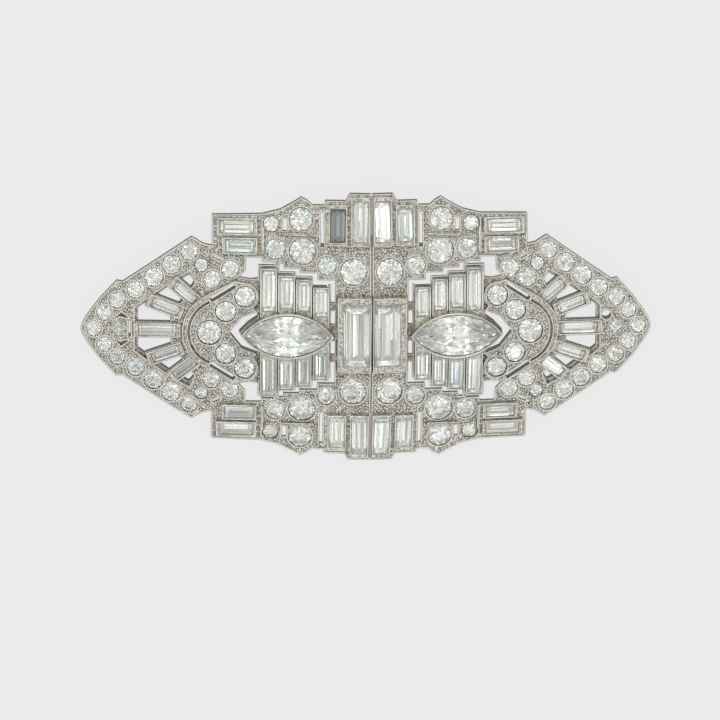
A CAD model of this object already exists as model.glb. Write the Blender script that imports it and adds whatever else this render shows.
import math

import bpy
import numpy as np
from mathutils import Matrix, Vector
from mathutils.bvhtree import BVHTree
from mathutils.kdtree import KDTree


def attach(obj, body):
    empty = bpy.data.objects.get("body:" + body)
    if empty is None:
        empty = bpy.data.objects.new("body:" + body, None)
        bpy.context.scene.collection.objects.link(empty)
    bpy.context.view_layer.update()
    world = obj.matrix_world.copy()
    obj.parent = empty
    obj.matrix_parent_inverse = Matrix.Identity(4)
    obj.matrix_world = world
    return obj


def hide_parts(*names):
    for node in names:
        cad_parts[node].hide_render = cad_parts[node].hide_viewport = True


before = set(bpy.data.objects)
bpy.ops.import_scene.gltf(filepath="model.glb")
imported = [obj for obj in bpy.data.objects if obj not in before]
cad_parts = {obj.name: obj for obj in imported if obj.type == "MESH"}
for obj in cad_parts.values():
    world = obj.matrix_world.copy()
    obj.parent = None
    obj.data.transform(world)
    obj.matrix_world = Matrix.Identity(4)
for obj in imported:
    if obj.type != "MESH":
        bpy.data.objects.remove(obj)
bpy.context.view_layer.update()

# Lengths are in metres, and MM turns millimetres into metres
MM = 0.001
SIDES = ("left", "right")
STONES = sorted(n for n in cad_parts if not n.endswith(("_mount", "back_pin")))


# Shader expressions

class Value:
    """A node's output, on which + - * and ** add the Math nodes that work them out."""

    def __init__(self, finish, socket):
        self.finish = finish
        self.socket = socket

    def combine(self, operation, first, second):
        return self.finish.node("Math", {"operation": operation}, first, second)

    def __add__(self, other):
        return self.combine("ADD", self, other)

    def __radd__(self, other):
        return self.combine("ADD", other, self)

    def __sub__(self, other):
        return self.combine("SUBTRACT", self, other)

    def __rsub__(self, other):
        return self.combine("SUBTRACT", other, self)

    def __mul__(self, other):
        return self.combine("MULTIPLY", self, other)

    def __rmul__(self, other):
        return self.combine("MULTIPLY", other, self)

    def __pow__(self, other):
        return self.combine("POWER", self, other)


class Finish:
    """A material whose nodes are added by name and joined by their values."""

    def __init__(self, name):
        self.material = bpy.data.materials.new(name)
        self.material.use_nodes = True
        self.tree = self.material.node_tree
        self.tree.nodes.clear()
        self.output = self.tree.nodes.new("ShaderNodeOutputMaterial")

    def node(self, kind, settings=None, *inputs, output=0, **named):
        """Adds one node, sets it up, feeds its inputs and gives the chosen output as a value."""
        node = self.tree.nodes.new("ShaderNode" + kind)
        for key, value in (settings or {}).items():
            setattr(node, key, value)
        for key, value in [*enumerate(inputs), *named.items()]:
            socket = node.inputs[key.replace("_", " ") if isinstance(key, str) else key]
            if isinstance(value, Value):
                self.tree.links.new(value.socket, socket)
            else:
                socket.default_value = value
        return Value(self, node.outputs[output])

    def ramp(self, factor, *stops):
        """A colour ramp through stops of place and colour."""
        node = self.tree.nodes.new("ShaderNodeValToRGB")
        ramp = node.color_ramp
        while len(ramp.elements) < len(stops):
            ramp.elements.new(0.5)
        for element, (place, colour) in zip(ramp.elements, stops):
            element.position = place
            element.color = (*colour, 1)
        self.tree.links.new(factor.socket, node.inputs[0])
        return Value(self, node.outputs[0])

    def mix(self, factor, first, second):
        """One colour that goes from first to second as factor goes from 0 to 1."""
        node = self.tree.nodes.new("ShaderNodeMix")
        node.data_type = "RGBA"
        for socket, value in zip((node.inputs[0], node.inputs[6], node.inputs[7]), (factor, first, second)):
            if isinstance(value, Value):
                self.tree.links.new(value.socket, socket)
            else:
                socket.default_value = value if socket is node.inputs[0] else (*value, 1)
        return Value(self, node.outputs[2])

    def surface(self, shader):
        self.tree.links.new(shader.socket, self.output.inputs["Surface"])
        return self.material


# Materials

BEVEL_RADIUS = 0.05
RELIEF_DEPTH = 0.1
CLOUD_SCALE = 420.0
FINE_SCALE = 5200.0
CELL_SCALE = 3300.0
GROOVE_DARKNESS = 2.2


def platinum(name, light, dark, roughness, grain, reach, depth_power, beading):
    """White metal with a share of fine beading: rounded cells with darker grooves. It greys where the surface
    lies deep between others, and its gloss varies in cloudy patches."""
    finish = Finish(name)
    place = finish.node("TexCoord", output="Object")
    cloud = finish.node("TexNoise", None, Vector=place, Scale=CLOUD_SCALE, Detail=4.0)
    fine = finish.node("TexNoise", None, Vector=place, Scale=FINE_SCALE, Detail=3.0)
    cell = finish.node("TexVoronoi", None, Vector=place, Scale=CELL_SCALE)
    groove = finish.node(
        "Math", {"operation": "SMOOTH_MIN"}, GROOVE_DARKNESS * beading * cell ** 2, 1.0, 0.1)
    hollow = finish.node("AmbientOcclusion", {"samples": 8}, Distance=reach * MM, output="AO")
    depth = finish.node("Math", {"operation": "POWER", "use_clamp": True}, hollow, depth_power)
    colour = finish.mix(depth, dark, finish.mix(groove, light, dark))
    edge = finish.node("Bevel", {"samples": 6}, Radius=BEVEL_RADIUS * MM)
    height = 0.3 * fine - beading * cell ** 2
    relief = finish.node(
        "Bump", None, Height=height, Strength=grain, Distance=RELIEF_DEPTH * MM, Normal=edge)
    shader = finish.node(
        "BsdfPrincipled", None, Base_Color=colour, Metallic=1.0,
        Roughness=roughness + 0.14 * (cloud - 0.5) + 0.1 * (fine - 0.5), Normal=relief)
    return finish.surface(shader)


DIAMOND_IOR = 2.417
BACK_MIRROR = 0.65
GLOW_STRENGTH = 0.3


def diamond():
    """Clear cut stone whose facets differ a little in tint, with a rare coloured one. The facets that face
    down are partly mirrors with a small light of their own, in place of a real cut's brilliance."""
    finish = Finish("diamond")
    fire = finish.node("Attribute", {"attribute_name": "fire"}, output="Fac")
    tint = finish.ramp(
        fire,
        (0.0, (0.74, 0.76, 0.74)), (0.3, (0.90, 0.91, 0.88)), (0.6, (0.985, 0.985, 0.96)),
        (0.95, (0.62, 0.76, 1.0)), (0.97, (0.66, 0.95, 0.80)), (0.985, (1.0, 0.80, 0.62)),
        (0.995, (0.10, 0.16, 0.21)))
    tint.socket.node.color_ramp.interpolation = "CONSTANT"
    back = finish.node("Attribute", {"attribute_name": "back"}, output="Fac")
    glow = finish.ramp(
        finish.node("Attribute", {"attribute_name": "glow"}, output="Fac"),
        (0.0, (0.0, 0.0, 0.0)), (1.0, (1.0, 1.0, 0.94)))
    shader = finish.node(
        "BsdfPrincipled", None, Base_Color=tint, Metallic=BACK_MIRROR * back, Roughness=0.0, IOR=DIAMOND_IOR,
        Transmission_Weight=1.0, Emission_Color=glow, Emission_Strength=GLOW_STRENGTH)
    return finish.surface(shader)


def pin_metal():
    """Plain satin metal with fine marks along the stem."""
    finish = Finish("satin pin metal")
    place = finish.node("TexCoord", output="Object")
    stretched = finish.node("Mapping", None, Vector=place, Scale=(300.0, 9000.0, 9000.0))
    marks = finish.node("TexNoise", None, Vector=stretched, Scale=1.0, Detail=4.0)
    colour = finish.mix(marks, (0.70, 0.69, 0.66), (0.80, 0.79, 0.76))
    relief = finish.node("Bump", None, Height=marks, Strength=0.25, Distance=0.02 * MM)
    shader = finish.node(
        "BsdfPrincipled", None, Base_Color=colour, Metallic=1.0,
        Roughness=0.24 + 0.2 * marks, Normal=relief)
    return finish.surface(shader)


def pale_floor():
    """Pale lit ground: mostly its own even light, with a little diffuse for a soft shadow."""
    finish = Finish("pale floor")
    shader = finish.node(
        "BsdfPrincipled", None, Base_Color=(0.06, 0.06, 0.06, 1), Roughness=1.0,
        Specular_IOR_Level=0.0, Emission_Color=(1.0, 1.0, 1.0, 1), Emission_Strength=FLOOR_GLOW)
    return finish.surface(shader)


# Reading the stones from the frame

WELD = 0.0005 * MM
SAME_FACET = 0.99995


def triangles(node):
    """Corners of a node's triangles, as an array of triangle, corner and coordinate."""
    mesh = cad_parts[node].data
    mesh.calc_loop_triangles()
    corners = np.empty(len(mesh.loop_triangles) * 3, np.int32)
    mesh.loop_triangles.foreach_get("vertices", corners)
    points = np.empty(len(mesh.vertices) * 3, np.float32)
    mesh.vertices.foreach_get("co", points)
    return points.astype(float).reshape(-1, 3)[corners].reshape(-1, 3, 3)


def solid_of_each(faces):
    """Number of the loose solid that each triangle belongs to: corners in one place share a label,
    and each triangle spreads its lowest label to its corners until nothing changes."""
    _, corner = np.unique(np.round(faces.reshape(-1, 3) / WELD), axis=0, return_inverse=True)
    corner = corner.reshape(-1, 3)
    label = np.arange(corner.max() + 1)
    spread = None
    while spread is None or (spread != label).any():
        label = label if spread is None else spread
        spread = label.copy()
        np.minimum.at(spread, corner, label[corner].min(1)[:, None])
    return np.unique(label[corner[:, 0]], return_inverse=True)[1]


class Seat:
    """Where one cut stone sits: the middle of its girdle, its directions and its half sizes."""

    def __init__(self, faces, outline):
        """The table is the flat upward facet of largest area, and the girdle is where the stone is widest
        round the table's axis. Its farthest points give the long direction of a marquise or baguette."""
        cross = np.cross(faces[:, 1] - faces[:, 0], faces[:, 2] - faces[:, 0])
        area = np.linalg.norm(cross, axis=1)
        normal = cross / area[:, None]
        joined = (normal @ normal.T > SAME_FACET) @ area
        up = normal[np.argmax(np.where(normal[:, 2] > 0.5, joined, 0))]
        table = normal @ up > SAME_FACET
        middle = (area[table, None] * faces[table].mean(1)).sum(0) / area[table].sum()
        points = faces.reshape(-1, 3) - middle
        height = points @ up
        flat = points - height[:, None] * up
        reach = np.linalg.norm(flat, axis=1)
        outer = reach > 0.98 * reach.max()
        far = flat[np.argmax(reach)] / reach.max()
        if outline == "round":
            along = np.array([1, 0, 0]) - up[0] * up
        elif outline == "marquise":
            along = far
        else:
            across_corner = np.where(outer & (flat @ far < 0.999 * reach), flat @ far, -1)
            along = far + flat[np.argmax(across_corner)] / reach.max()
        self.up = up
        self.along = along / np.linalg.norm(along)
        self.across = np.cross(up, self.along)
        self.centre = middle + up * (height[outer].max() + height[outer].min()) / 2
        self.half_length = (flat @ self.along).max()
        self.half_width = (flat @ self.across).max()


def outline_of(node):
    """Which outline the stones of a node have, from its name."""
    return next((kind for kind in ("round", "marquise") if kind in node), "baguette")


def seats_of(node):
    """The seats of all the stones of a node."""
    faces = triangles(node)
    number = solid_of_each(faces)
    return [Seat(faces[number == k], outline_of(node)) for k in range(number.max() + 1)]


# Cutting stones. A cut is its corners on a girdle of radius one and its triangles

GIRDLE = 0.03
TABLE = (0.56, 0.30)
STAR_SHARE = 0.52
LOWER_REACH = 0.24
CULET = (0.07, -0.86)
EIGHTH = 2 * math.pi / 8


def ring(count, radius, height, turn):
    """Corners evenly round the axis, the first one turned by the given angle."""
    angle = turn + np.arange(count) * 2 * math.pi / count
    return np.stack([angle, np.full(count, radius), np.full(count, height)], 1)


def brilliant():
    """Angle, radius and height of a brilliant's corners, and its triangles. Each main facet is flat:
    its star or lower corners lie on the plane through the table or culet and the girdle."""
    half = math.cos(EIGHTH / 2)
    star = STAR_SHARE * half * TABLE[0] + (1 - STAR_SHARE)
    star_height = TABLE[1] - (TABLE[1] - GIRDLE) * (star * half - TABLE[0]) / (1 - TABLE[0])
    lower_height = -GIRDLE - (-GIRDLE - CULET[1]) * (1 - LOWER_REACH * half) / (1 - CULET[0])
    corners = np.concatenate([
        ring(8, *TABLE, 0), ring(8, star, star_height, EIGHTH / 2),
        ring(16, 1, GIRDLE, 0), ring(16, 1, -GIRDLE, 0),
        ring(8, LOWER_REACH, lower_height, EIGHTH / 2), ring(8, *CULET, 0)])
    i = np.arange(8)
    after = (i + 1) % 8
    before = (i - 1) % 8
    table, star, lower, culet = i, 8 + i, 48 + i, 56 + i
    g = [16 + (2 * i + k) % 16 for k in range(3)]
    h = [32 + (2 * i + k) % 16 for k in range(3)]
    rows = [
        (table, star, after), (table, 8 + before, g[0]), (table, g[0], star),
        (star, g[0], g[1]), (star, g[1], g[2]),
        (g[0], h[0], h[1]), (g[0], h[1], g[1]), (g[1], h[1], h[2]), (g[1], h[2], g[2]),
        (lower, h[1], h[0]), (lower, h[2], h[1]),
        (culet, h[0], 48 + before), (culet, lower, h[0]), (culet, 56 + after, lower)]
    fan = np.arange(1, 7)
    rows.append((0 * fan, fan, fan + 1))
    rows.append((56 + 0 * fan, 57 + fan, 56 + fan))
    return corners, np.concatenate([np.stack(row, 1) for row in rows])


# Steps of a baguette in shares of its width: height, inset
STEPS = ((0.20, 0.21), (0.135, 0.09), (0.03, 0.0), (-0.03, 0.0), (-0.20, 0.10), (-0.37, 0.24), (-0.52, 0.43))


def step_cut(half_length, half_width):
    """Corners and triangles of a step cut: rectangles drawn in by each step's inset, four corners a level,
    joined level to level, with the table and keel closed."""
    height, inset = (2 * half_width * np.array(column) for column in zip(*STEPS))
    signs = np.array([[1, -1], [1, 1], [-1, 1], [-1, -1]])
    half = np.array([half_length, half_width]) - inset[:, None]
    plan = half[:, None, :] * signs[None]
    corners = np.concatenate([plan, np.broadcast_to(height[:, None, None], (len(STEPS), 4, 1))], 2)
    i = np.arange(4)
    level = 4 * np.arange(len(STEPS) - 1)[:, None]
    a, b = level + i, level + (i + 1) % 4
    quads = np.stack([a, a + 4, b + 4, b], 2).reshape(-1, 4)
    last = 4 * (len(STEPS) - 1)
    ends = np.array([[0, 1, 2, 3], [last + 3, last + 2, last + 1, last]])
    quads = np.concatenate([quads, ends])
    return corners.reshape(-1, 3), np.concatenate([quads[:, [0, 1, 2]], quads[:, [0, 2, 3]]])


def round_cut(radius):
    """A brilliant of the given radius."""
    (angle, reach, height), faces = brilliant()[0].T, brilliant()[1]
    return radius * np.stack([reach * np.cos(angle), reach * np.sin(angle), height], 1), faces


# Levels of the marquise from table to keel: height in half widths, share of its width, share of its length
OVAL_LEVELS = (
    (0.34, 0.50, 0.62), (0.22, 0.76, 0.80), (0.04, 1.0, 1.0), (-0.04, 1.0, 1.0),
    (-0.36, 0.66, 0.70), (-0.60, 0.36, 0.52), (-0.80, 0.10, 0.34))
OVAL_CORNERS = 18
TURNED_LEVELS = (1, 4, 6)


def marquise_cut(half_length, half_width):
    """Levels of corners on a pointed oval's two arcs, each level turned by half a step against the last, so
    that kite-like facets run round it. The girdle's two levels keep the same corners."""
    arc = (half_length ** 2 + half_width ** 2) / (2 * half_width)
    reach = math.asin(half_length / arc)
    levels = []
    for number, (height, width, length) in enumerate(OVAL_LEVELS):
        share = (np.arange(OVAL_CORNERS) + (0.5 if number in TURNED_LEVELS else 0)) * 2 / OVAL_CORNERS
        upper = share < 1
        angle = reach * np.where(upper, 1 - 2 * share, 2 * share - 3)
        across = (arc * np.cos(angle) - arc + half_width) * np.where(upper, 1, -1)
        flat = np.full(OVAL_CORNERS, height * half_width)
        levels.append(np.stack([arc * np.sin(angle) * length, across * width, flat], 1))
    i = np.arange(OVAL_CORNERS)
    j = (i + 1) % OVAL_CORNERS
    rows = []
    for number in range(len(OVAL_LEVELS) - 1):
        a, b, c, d = (k + OVAL_CORNERS * (number + n) for k, n in ((i, 0), (j, 0), (i, 1), (j, 1)))
        turned = number + 1 in TURNED_LEVELS
        rows += [(a, c, b), (b, c, d)] if turned else [(a, c, d), (a, d, b)]
    fan = np.arange(1, OVAL_CORNERS - 1)
    last = OVAL_CORNERS * (len(OVAL_LEVELS) - 1)
    rows += [(0 * fan, fan, fan + 1), (last + 0 * fan, last + fan + 1, last + fan)]
    return np.concatenate(levels), np.concatenate([np.stack(row, 1) for row in rows])


def cut_for(seat, outline):
    """The cut that fills a seat: corners in the seat's own directions, and triangles."""
    if outline == "round":
        return round_cut(seat.half_length)
    if outline == "marquise":
        return marquise_cut(seat.half_length, seat.half_width)
    return step_cut(seat.half_length, seat.half_width)


# Small random lean of each stone, and the range of its lower facets' own light
LEAN = {"round": 0.03, "marquise": 0.0, "baguette": 0.015}
GLOW = {"round": (0.1, 0.3), "marquise": (0.0, 0.75), "baguette": (0.1, 0.6)}
DARK_STONE = "left_upper_short_baguette"
FACES_DOWN = -0.15
UNLIT_GLOW = 0.1


def leaning(seat, lean):
    """The seat's directions, turned by two small angles so that no two stones mirror the light alike."""
    up = seat.up + lean[0] * seat.along + lean[1] * seat.across
    up /= np.linalg.norm(up)
    across = np.cross(up, seat.along)
    across /= np.linalg.norm(across)
    return np.array([np.cross(across, up), across, up])


def stones_piece(node, chance):
    """One mesh of all the cut stones of a node, each placed in its seat, with a chance value for each facet
    and a mark on the facets that face down."""
    corners, faces, start = [], [], 0
    outline = outline_of(node)
    for seat in seats_of(node):
        local, part = cut_for(seat, outline)
        if outline == "round":
            turn = chance.uniform(0, EIGHTH)
            c, s = math.cos(turn), math.sin(turn)
            local = local @ np.array([[c, s, 0], [-s, c, 0], [0, 0, 1]])
        corners.append(seat.centre + local @ leaning(seat, chance.normal(0, LEAN[outline], 2)))
        faces.append(part + start)
        start += len(local)
    piece = mesh_piece(node + "_cut", np.concatenate(corners), np.concatenate(faces))
    fire = piece.data.attributes.new("fire", "FLOAT", "FACE")
    values = chance.uniform(0, 0.99, len(piece.data.polygons))
    facing = np.empty(3 * len(values), np.float32)
    piece.data.polygons.foreach_get("normal", facing)
    downward = facing[2::3] < FACES_DOWN
    if node == DARK_STONE:
        values[downward] = 1.0
    fire.data.foreach_set("value", values.astype(np.float32))
    back = piece.data.attributes.new("back", "FLOAT", "FACE")
    back.data.foreach_set("value", downward.astype(np.float32))
    glow = piece.data.attributes.new("glow", "FLOAT", "FACE")
    light = np.where(downward & (node != DARK_STONE), chance.uniform(*GLOW[outline], len(values)), UNLIT_GLOW)
    glow.data.foreach_set("value", light.astype(np.float32))
    return piece


def mesh_piece(name, corners, faces, smooth=False):
    """A new object whose mesh has the given corners and faces, with its place in its mesh."""
    mesh = bpy.data.meshes.new(name)
    mesh.from_pydata(corners.tolist(), [], faces.tolist())
    mesh.validate()
    mesh.update()
    if smooth:
        mesh.shade_smooth()
    piece = bpy.data.objects.new(name, mesh)
    bpy.context.scene.collection.objects.link(piece)
    return piece


def dress(piece, material, slot=None):
    """Gives a piece its material, and its place on the brooch's one body."""
    piece.data.materials.clear()
    piece.data.materials.append(material)
    if slot:
        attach(piece, "root")
    return piece


# Curved surface of the clips, in millimetres. Its axis runs down from the seam to each tip

CURVE_RADIUS = 43.0
CLIP_SLOPE = math.radians(5.6)
CENTRE_SHIFT = 0.49
AXIS_HEIGHT = -38.0
STONE_GAP = 0.04


def rise_of(points):
    """Height of points above the curved plate, in millimetres: their distance from the clip's axis less the
    plate's radius. The axis falls away from the seam by the clip's slope."""
    x = np.abs(points[:, 0] / MM - CENTRE_SHIFT)
    above = (points[:, 2] / MM + x * math.tan(CLIP_SLOPE) - AXIS_HEIGHT) * math.cos(CLIP_SLOPE)
    return np.hypot(above, points[:, 1] / MM) - CURVE_RADIUS


def beyond_seat(seat, outline, points):
    """Distance of points outside the wall of a seat, in its plane: from a circle, a rectangle, or the nearer
    of a pointed oval's two arcs. Points far above or below the seat count as far away."""
    local = (points - seat.centre) @ np.array([seat.along, seat.across, seat.up]).T
    a, b = np.abs(local[:, 0]), np.abs(local[:, 1])
    length, width = seat.half_length + STONE_GAP * MM, seat.half_width + STONE_GAP * MM
    if outline == "round":
        outside = np.hypot(a, b) - length
    elif outline == "marquise":
        arc = (length ** 2 + width ** 2) / (2 * width)
        outside = np.hypot(a, b + arc - width) - arc
    else:
        outside = np.maximum(a - length, b - width)
    return np.where(np.abs(local[:, 2]) < 1.3 * MM, outside, 9 * MM)


THREAD_RADIUS = 0.085
GRAIN_GRID = 0.18
GRAIN_LARGEST = 0.24
GRAIN_SMALLEST = 0.1
GRAIN_RING = 0.15
FACES_UP = 0.75
WALL = 0.5
SEAT_EDGE = 0.035
LEVEL_TOLERANCE = 0.08
RAIL_RISE = 0.8
# Grains nearer than this share of their two radii rule each other out
GRAIN_SPACING = 0.9


class Metalwork:
    """The upward faces of one mount and the edges where they meet a wall, on which threads and grains go."""

    def __init__(self, side):
        """Each edge of a triangle is matched with the same edge of its neighbour. An upper edge has an
        upward face on one side and a wall on the other: a brow when the wall falls away, a foot when it
        stands up."""
        self.faces = triangles(side + "_mount")
        corners = self.faces.reshape(-1, 3)
        _, first, corner = np.unique(
            np.round(corners / WELD), axis=0, return_index=True, return_inverse=True)
        self.points = corners[first]
        self.corner = corner.reshape(-1, 3)
        cross = np.cross(self.faces[:, 1] - self.faces[:, 0], self.faces[:, 2] - self.faces[:, 0])
        normal = np.repeat(cross / np.linalg.norm(cross, axis=1)[:, None], 3, axis=0)
        start, end = self.corner.reshape(-1), np.roll(self.corner, -1, axis=1).reshape(-1)
        apex = np.roll(self.corner, -2, axis=1).reshape(-1)
        key, wanted = start * len(self.points) + end, end * len(self.points) + start
        order = np.argsort(key)
        match = order[np.searchsorted(key[order], wanted).clip(0, len(order) - 1)]
        upper = (key[match] == wanted) & (normal[:, 2] > FACES_UP) & (normal[match, 2] < WALL)
        lift = ((self.points[apex[match]] - self.points[start]) * normal).sum(1)
        brow, foot = upper & (lift < 0), upper & (lift > 0)
        self.start, self.end, self.normal = start[brow], end[brow], normal[brow]
        self.middle = (self.points[self.start] + self.points[self.end]) / 2
        self.foot = self.along_edges(start[foot], end[foot])
        upward = normal[::3, 2] > FACES_UP
        area = np.linalg.norm(cross, axis=1)[upward]
        share, bounds = np.histogram(
            rise_of(self.faces[upward].mean(1)), np.arange(-3, 4, 0.02), weights=area)
        self.plate_level = bounds[np.argmax(share)] + 0.01
        self.rise = rise_of(self.middle) - self.plate_level
        self.seats = [
            (seat, outline_of(node)) for node in STONES if node.startswith(side) for seat in seats_of(node)]
        self.of_round = self.beside("round")
        self.of_other = self.beside("marquise") | self.beside("baguette")

    def beside(self, outline):
        """Which brows are the upper edge of a seat of the given outline."""
        near = [np.abs(beyond_seat(seat, kind, self.middle)) < SEAT_EDGE * MM
                for seat, kind in self.seats if kind == outline]
        return np.any(near, axis=0)

    def along_edges(self, start, end, step=0.08):
        """Points spread along edges, no farther apart than the step in millimetres."""
        a, b = self.points[start], self.points[end]
        share = np.linspace(0, 1, 1 + int(np.ceil(np.linalg.norm(b - a, axis=1).max() / (step * MM))))
        every = a[:, None] + (b - a)[:, None] * share[None, :, None]
        return np.unique(np.round(every.reshape(-1, 3) / (step * MM)), axis=0) * step * MM

    def inset_edges(self, name, keep, inset):
        """A mesh of the chosen brows alone, moved in over their upward face. Each end moves along the mean of
        its edges' inward directions, far enough that the edges themselves move in by the inset."""
        start, end = self.start[keep], self.end[keep]
        along = self.points[end] - self.points[start]
        inward = np.cross(self.normal[keep], along)
        inward /= np.linalg.norm(inward, axis=1)[:, None]
        total, count = np.zeros_like(self.points), np.zeros(len(self.points))
        for corner in (start, end):
            np.add.at(total, corner, inward)
            np.add.at(count, corner, 1)
        used = np.flatnonzero(count)
        mean = total[used] / count[used, None]
        move = mean / np.maximum((mean ** 2).sum(1), 0.35)[:, None]
        place = np.full(len(self.points), -1)
        place[used] = np.arange(len(used))
        mesh = bpy.data.meshes.new(name)
        edges = np.stack([place[start], place[end]], 1)
        mesh.from_pydata((self.points[used] + move * inset * MM).tolist(), edges.tolist(), [])
        piece = bpy.data.objects.new(name, mesh)
        bpy.context.scene.collection.objects.link(piece)
        return piece

    def grains(self, chance):
        """Places and radii of grains over the plate and the curved rails. Candidates ring every round stone
        and fill a jittered grid; each one's radius is the room that it has, and the larger ones are kept
        first."""
        tree = BVHTree.FromPolygons(self.points.tolist(), self.corner.tolist())
        low, high = self.points.min(0), self.points.max(0)
        columns = [np.arange(low[k], high[k], GRAIN_GRID * MM) for k in (0, 1)]
        grid = np.stack(np.meshgrid(*columns), -1).reshape(-1, 2)
        grid = grid + chance.uniform(-0.4, 0.4, grid.shape) * GRAIN_GRID * MM
        rings = [grid]
        for seat, outline in self.seats:
            if outline == "round":
                count = int(2 * math.pi * (seat.half_length / MM + GRAIN_RING) / (2 * GRAIN_RING))
                angle = np.arange(count)[:, None] * 2 * math.pi / count + chance.uniform(0, 1)
                reach = seat.half_length + GRAIN_RING * MM
                around = np.cos(angle) * seat.along + np.sin(angle) * seat.across
                rings.append((seat.centre + reach * around)[:, :2])
        plan = np.concatenate(rings)
        hits = [tree.ray_cast((x, y, 0.05), (0, 0, -1)) for x, y in plan.tolist()]
        plan = np.array([hit[0] for hit in hits if hit[0] is not None and hit[1].z > FACES_UP])
        rise = rise_of(plan) - self.plate_level
        on_plate, on_rail = (np.abs(rise - level) < LEVEL_TOLERANCE for level in (0, RAIL_RISE))
        plan = plan[on_plate | on_rail]
        for seat, outline in self.seats:
            plan = plan[beyond_seat(seat, outline, plan) > 0]
        own = ~self.of_round & ~self.of_other
        lines = ((self.of_round, -0.09), (own, 2 * THREAD_RADIUS - 0.05), (self.of_other, 0.04))
        room = np.full(len(plan), GRAIN_LARGEST)
        for keep, margin in lines:
            line = self.along_edges(self.start[keep], self.end[keep])
            room = np.minimum(room, self.distance(line, plan) - margin)
        room = np.minimum(room, self.distance(self.foot, plan) - 0.02)
        plan, room = plan[room > GRAIN_SMALLEST], room[room > GRAIN_SMALLEST]
        order = np.argsort(-room - chance.uniform(0, 0.02, len(room)))
        plan, room = plan[order], room[order]
        flat = (plan / MM).astype(np.float32)
        square = (flat ** 2).sum(1)
        apart = np.sqrt(np.maximum(square[:, None] + square[None] - 2 * flat @ flat.T, 0))
        clash = apart < GRAIN_SPACING * (room[:, None] + room[None])
        undecided, kept = np.ones(len(room), bool), np.zeros(len(room), bool)
        while undecided.any():
            rival = clash & undecided[None]
            first = np.argmax(rival, axis=1)
            chosen = undecided & (first == np.arange(len(room)))
            kept |= chosen
            undecided &= ~(chosen | clash[:, chosen].any(1))
        return plan[kept], room[kept] * MM

    def distance(self, line, places):
        """Distance in millimetres of places from the nearest of a line's points."""
        tree = KDTree(len(line))
        for number, point in enumerate(line.tolist()):
            tree.insert(point, number)
        tree.balance()
        return np.array([tree.find(place)[2] for place in places.tolist()]) / MM


def grains_piece(name, places, radii):
    """One mesh of many low domes: rings of six corners whose radius and height follow a circle's quarter,
    with a shared top corner, each dome scaled by its radius and set at its place."""
    level = np.radians([-20, 20, 55])
    angle = np.arange(6) * math.pi / 3
    ringed = np.stack([
        np.cos(level)[:, None] * np.cos(angle + level[:, None]),
        np.cos(level)[:, None] * np.sin(angle + level[:, None]),
        np.broadcast_to(np.sin(level)[:, None], (3, 6))], -1).reshape(-1, 3)
    dome = np.concatenate([ringed, [[0, 0, 1.0]]])
    i = np.arange(6)
    j = (i + 1) % 6
    faces = [np.stack([r * 6 + i, r * 6 + j, r * 6 + 6 + j], 1) for r in range(2)]
    faces += [np.stack([r * 6 + i, r * 6 + 6 + j, r * 6 + 6 + i], 1) for r in range(2)]
    faces.append(np.stack([12 + i, 12 + j, 18 + 0 * i], 1))
    faces = np.concatenate(faces)
    fan = np.arange(1, 5)
    faces = np.concatenate([faces, np.stack([0 * fan, fan + 1, fan], 1)])
    corners = places[:, None] + radii[:, None, None] * (dome - [0, 0, 0.25])[None]
    every = faces[None] + (np.arange(len(places)) * len(dome))[:, None, None]
    return mesh_piece(name, corners.reshape(-1, 3), every.reshape(-1, 3), smooth=True)


class Recipe:
    """A Geometry Nodes tree that is applied to a piece and leaves a plain mesh."""

    def __init__(self, name):
        self.tree = bpy.data.node_groups.new(name, "GeometryNodeTree")
        self.tree.interface.new_socket("Geometry", in_out="INPUT", socket_type="NodeSocketGeometry")
        self.tree.interface.new_socket("Geometry", in_out="OUTPUT", socket_type="NodeSocketGeometry")
        self.start = self.tree.nodes.new("NodeGroupInput").outputs[0]
        self.end = self.tree.nodes.new("NodeGroupOutput").inputs[0]

    def node(self, kind, settings, **inputs):
        node = self.tree.nodes.new("GeometryNode" + kind)
        for key, value in settings.items():
            setattr(node, key, value)
        for key, value in inputs.items():
            socket = node.inputs[key.replace("_", " ")]
            if isinstance(value, bpy.types.NodeSocket):
                self.tree.links.new(value, socket)
            else:
                socket.default_value = value
        return node.outputs[0]

    def apply(self, piece, result):
        self.tree.links.new(result, self.end)
        piece.modifiers.new("recipe", "NODES").node_group = self.tree
        ready = piece.evaluated_get(bpy.context.evaluated_depsgraph_get())
        edges, piece.data = piece.data, bpy.data.meshes.new_from_object(ready)
        piece.modifiers.clear()
        bpy.data.meshes.remove(edges)
        piece.data.shade_smooth()
        return piece


def thread(piece, radius):
    """Half-sunk wire along the edges of a piece."""
    recipe = Recipe("thread")
    line = recipe.node("MeshToCurve", {}, Mesh=recipe.start)
    section = recipe.node("CurvePrimitiveCircle", {}, Resolution=8, Radius=radius * MM)
    wire = recipe.node("CurveToMesh", {}, Curve=line, Profile_Curve=section, Fill_Caps=True)
    return recipe.apply(piece, wire)


def milled(piece, radius, pitch):
    """Row of small beads along the edges of a piece, a pitch apart."""
    recipe = Recipe("milled edge")
    line = recipe.node("MeshToCurve", {}, Mesh=recipe.start)
    even = recipe.node("ResampleCurve", {"mode": "LENGTH"}, Curve=line, Length=pitch * MM)
    bead = recipe.node("MeshIcoSphere", {}, Radius=radius * MM, Subdivisions=2)
    beads = recipe.node("InstanceOnPoints", {}, Points=even, Instance=bead)
    return recipe.apply(piece, recipe.node("RealizeInstances", {}, Geometry=beads))


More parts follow.
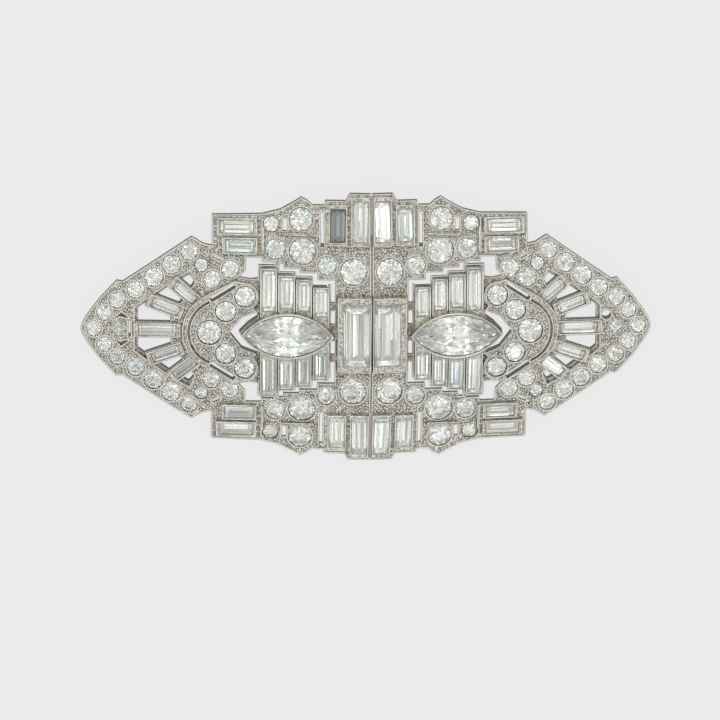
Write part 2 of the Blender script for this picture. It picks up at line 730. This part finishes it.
def metal_detail(side, metal, chance):
    """Milled rim, threads on the raised boxes and seats, and grains of one mount."""
    work = Metalwork(side)
    own = ~work.of_round & ~work.of_other
    rim = own & (np.abs(work.rise) < 0.1)
    pieces = [
        thread(work.inset_edges(side + "_rim_thread", rim, THREAD_RADIUS), THREAD_RADIUS),
        milled(work.inset_edges(side + "_milled_rim", rim, 0.04), 0.13, 0.27),
        thread(work.inset_edges(side + "_box_threads", own & ~rim, 0.07), 0.07),
        thread(work.inset_edges(side + "_seat_threads", work.of_other, 0.04), 0.04),
        grains_piece(side + "_grains", *work.grains(chance))]
    for piece in pieces:
        dress(piece, metal, "platinum")


# Camera, ground and light

TILT = math.radians(15)
SWING = math.radians(3)
ROLL = math.radians(0.4)
PHOTO_SIZE = 720
PIXELS_PER_MM = 9.15
ORIGIN_PIXEL = (364.9, 321.55)
CAMERA_DISTANCE = 1.5
SENSOR = 36.0
FLOOR_GLOW = 0.785
FLOOR_HALF = 3.0
FLOOR_DROP = 0.02


def camera():
    """Long lens square to the brooch but for a tilt over its upper edge and a small swing to the left."""
    out = Vector((-math.sin(SWING) * math.cos(TILT), math.sin(TILT), math.cos(SWING) * math.cos(TILT)))
    up = (Vector((0, 1, 0)) - out * out.y).normalized()
    right = up.cross(out)
    view_right = math.cos(ROLL) * right + math.sin(ROLL) * up
    view_up = math.cos(ROLL) * up - math.sin(ROLL) * right
    middle = PHOTO_SIZE / 2
    aim = MM / PIXELS_PER_MM * (
        (middle - ORIGIN_PIXEL[0]) * view_right - (middle - ORIGIN_PIXEL[1]) * view_up)
    lens = bpy.data.cameras.new("camera")
    lens.sensor_width = SENSOR
    lens.lens = SENSOR * CAMERA_DISTANCE / (PHOTO_SIZE / PIXELS_PER_MM * MM)
    lens.clip_start = 0.05
    lens.clip_end = 20
    view = bpy.data.objects.new("camera", lens)
    turn = Matrix((view_right, view_up, out)).transposed().to_4x4()
    view.matrix_world = Matrix.Translation(aim + out * CAMERA_DISTANCE) @ turn
    bpy.context.scene.collection.objects.link(view)
    bpy.context.scene.camera = view


def floor():
    """Flat ground under the brooch."""
    half = FLOOR_HALF
    corners = np.array([[-half, -half, 0], [half, -half, 0], [half, half, 0], [-half, half, 0]])
    ground = mesh_piece("floor", corners - np.array([0, 0, FLOOR_DROP * MM]), np.array([[0, 1, 2, 3]]))
    dress(ground, pale_floor())
    ground.visible_glossy = False


# Softboxes: name, azimuth, elevation, side length and power
SOFTBOXES = (
    ("left softbox", 270, 42, 0.24, 0.155),
    ("right softbox", 90, 42, 0.24, 0.155),
    ("upper softbox", 180, 40, 0.24, 0.155),
    ("lower softbox", 0, 34, 0.24, 0.14),
    ("upper left lamp", 225, 60, 0.06, 0.022),
    ("upper right lamp", 140, 62, 0.06, 0.022),
    ("lower left lamp", 310, 60, 0.06, 0.022),
    ("lower right lamp", 40, 58, 0.06, 0.022),
)


def softbox(name, azimuth, elevation, size, power, distance=0.5):
    """Square area light that faces the brooch from the given direction."""
    light = bpy.data.lights.new(name, "AREA")
    light.size = size
    light.energy = power
    lamp = bpy.data.objects.new(name, light)
    a, e = math.radians(azimuth), math.radians(elevation)
    back = Vector((math.sin(a) * math.cos(e), -math.cos(a) * math.cos(e), math.sin(e)))
    lamp.location = back * distance
    lamp.rotation_euler = back.to_track_quat("Z", "Y").to_euler()
    bpy.context.scene.collection.objects.link(lamp)


TENT_DARK = 0.20
TENT_LIGHT = 0.88
TABLE_DARK = 0.20
CLOTH_SCALE = 3.2
CLOTH_STOPS = (0.38, 0.55)
HORIZON = 0.15


def tent():
    """Pale tent over a dark table: an even upper half with darker cloths here and there, for contrast."""
    world = bpy.data.worlds.new("tent")
    bpy.context.scene.world = world
    world.use_nodes = True
    nodes, links = world.node_tree.nodes, world.node_tree.links
    place = nodes.new("ShaderNodeTexCoord")
    cloth = nodes.new("ShaderNodeTexNoise")
    cloth.inputs["Scale"].default_value = CLOTH_SCALE
    cloth.inputs["Detail"].default_value = 1.0
    ramp = nodes.new("ShaderNodeValToRGB")
    ramp.color_ramp.elements[0].position = CLOTH_STOPS[0]
    ramp.color_ramp.elements[0].color = (TENT_DARK, TENT_DARK, TENT_DARK, 1)
    ramp.color_ramp.elements[1].position = CLOTH_STOPS[1]
    ramp.color_ramp.elements[1].color = (TENT_LIGHT, TENT_LIGHT, TENT_LIGHT * 0.98, 1)
    links.new(place.outputs["Generated"], cloth.inputs["Vector"])
    links.new(cloth.outputs["Fac"], ramp.inputs["Fac"])
    axes = nodes.new("ShaderNodeSeparateXYZ")
    links.new(place.outputs["Generated"], axes.inputs[0])
    above = nodes.new("ShaderNodeMapRange")
    above.inputs["From Min"].default_value = -HORIZON
    above.inputs["From Max"].default_value = HORIZON
    links.new(axes.outputs["Z"], above.inputs["Value"])
    join = nodes.new("ShaderNodeMix")
    join.data_type = "RGBA"
    links.new(above.outputs[0], join.inputs[0])
    join.inputs[6].default_value = (TABLE_DARK, TABLE_DARK, TABLE_DARK, 1)
    links.new(ramp.outputs["Color"], join.inputs[7])
    links.new(join.outputs[2], nodes["Background"].inputs["Color"])
    nodes["Background"].inputs["Strength"].default_value = 1.0


# Metals: name, light and dark colour, roughness, relief, and the reach and power of the greying, beading
METALS = (
    ("sunk platinum", (0.93, 0.915, 0.86), (0.42, 0.385, 0.31), 0.24, 0.8, 0.5, 0.9, 0.8),
    ("bright platinum", (0.97, 0.96, 0.92), (0.36, 0.33, 0.27), 0.18, 0.3, 0.35, 1.3, 0.1),
)


def main():
    chance = np.random.default_rng(7)
    sunk, bright = (platinum(*row) for row in METALS)
    clear = diamond()
    for side in SIDES:
        dress(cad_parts[side + "_mount"], sunk)
        metal_detail(side, bright, chance)
    dress(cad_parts["back_pin"], pin_metal())
    for node in STONES:
        piece = dress(stones_piece(node, chance), clear, "diamond")
        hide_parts(node)
    camera()
    floor()
    tent()
    for name, azimuth, elevation, size, power in SOFTBOXES:
        softbox(name, azimuth, elevation, size, power)
    bpy.context.scene.view_settings.view_transform = "Standard"


main()
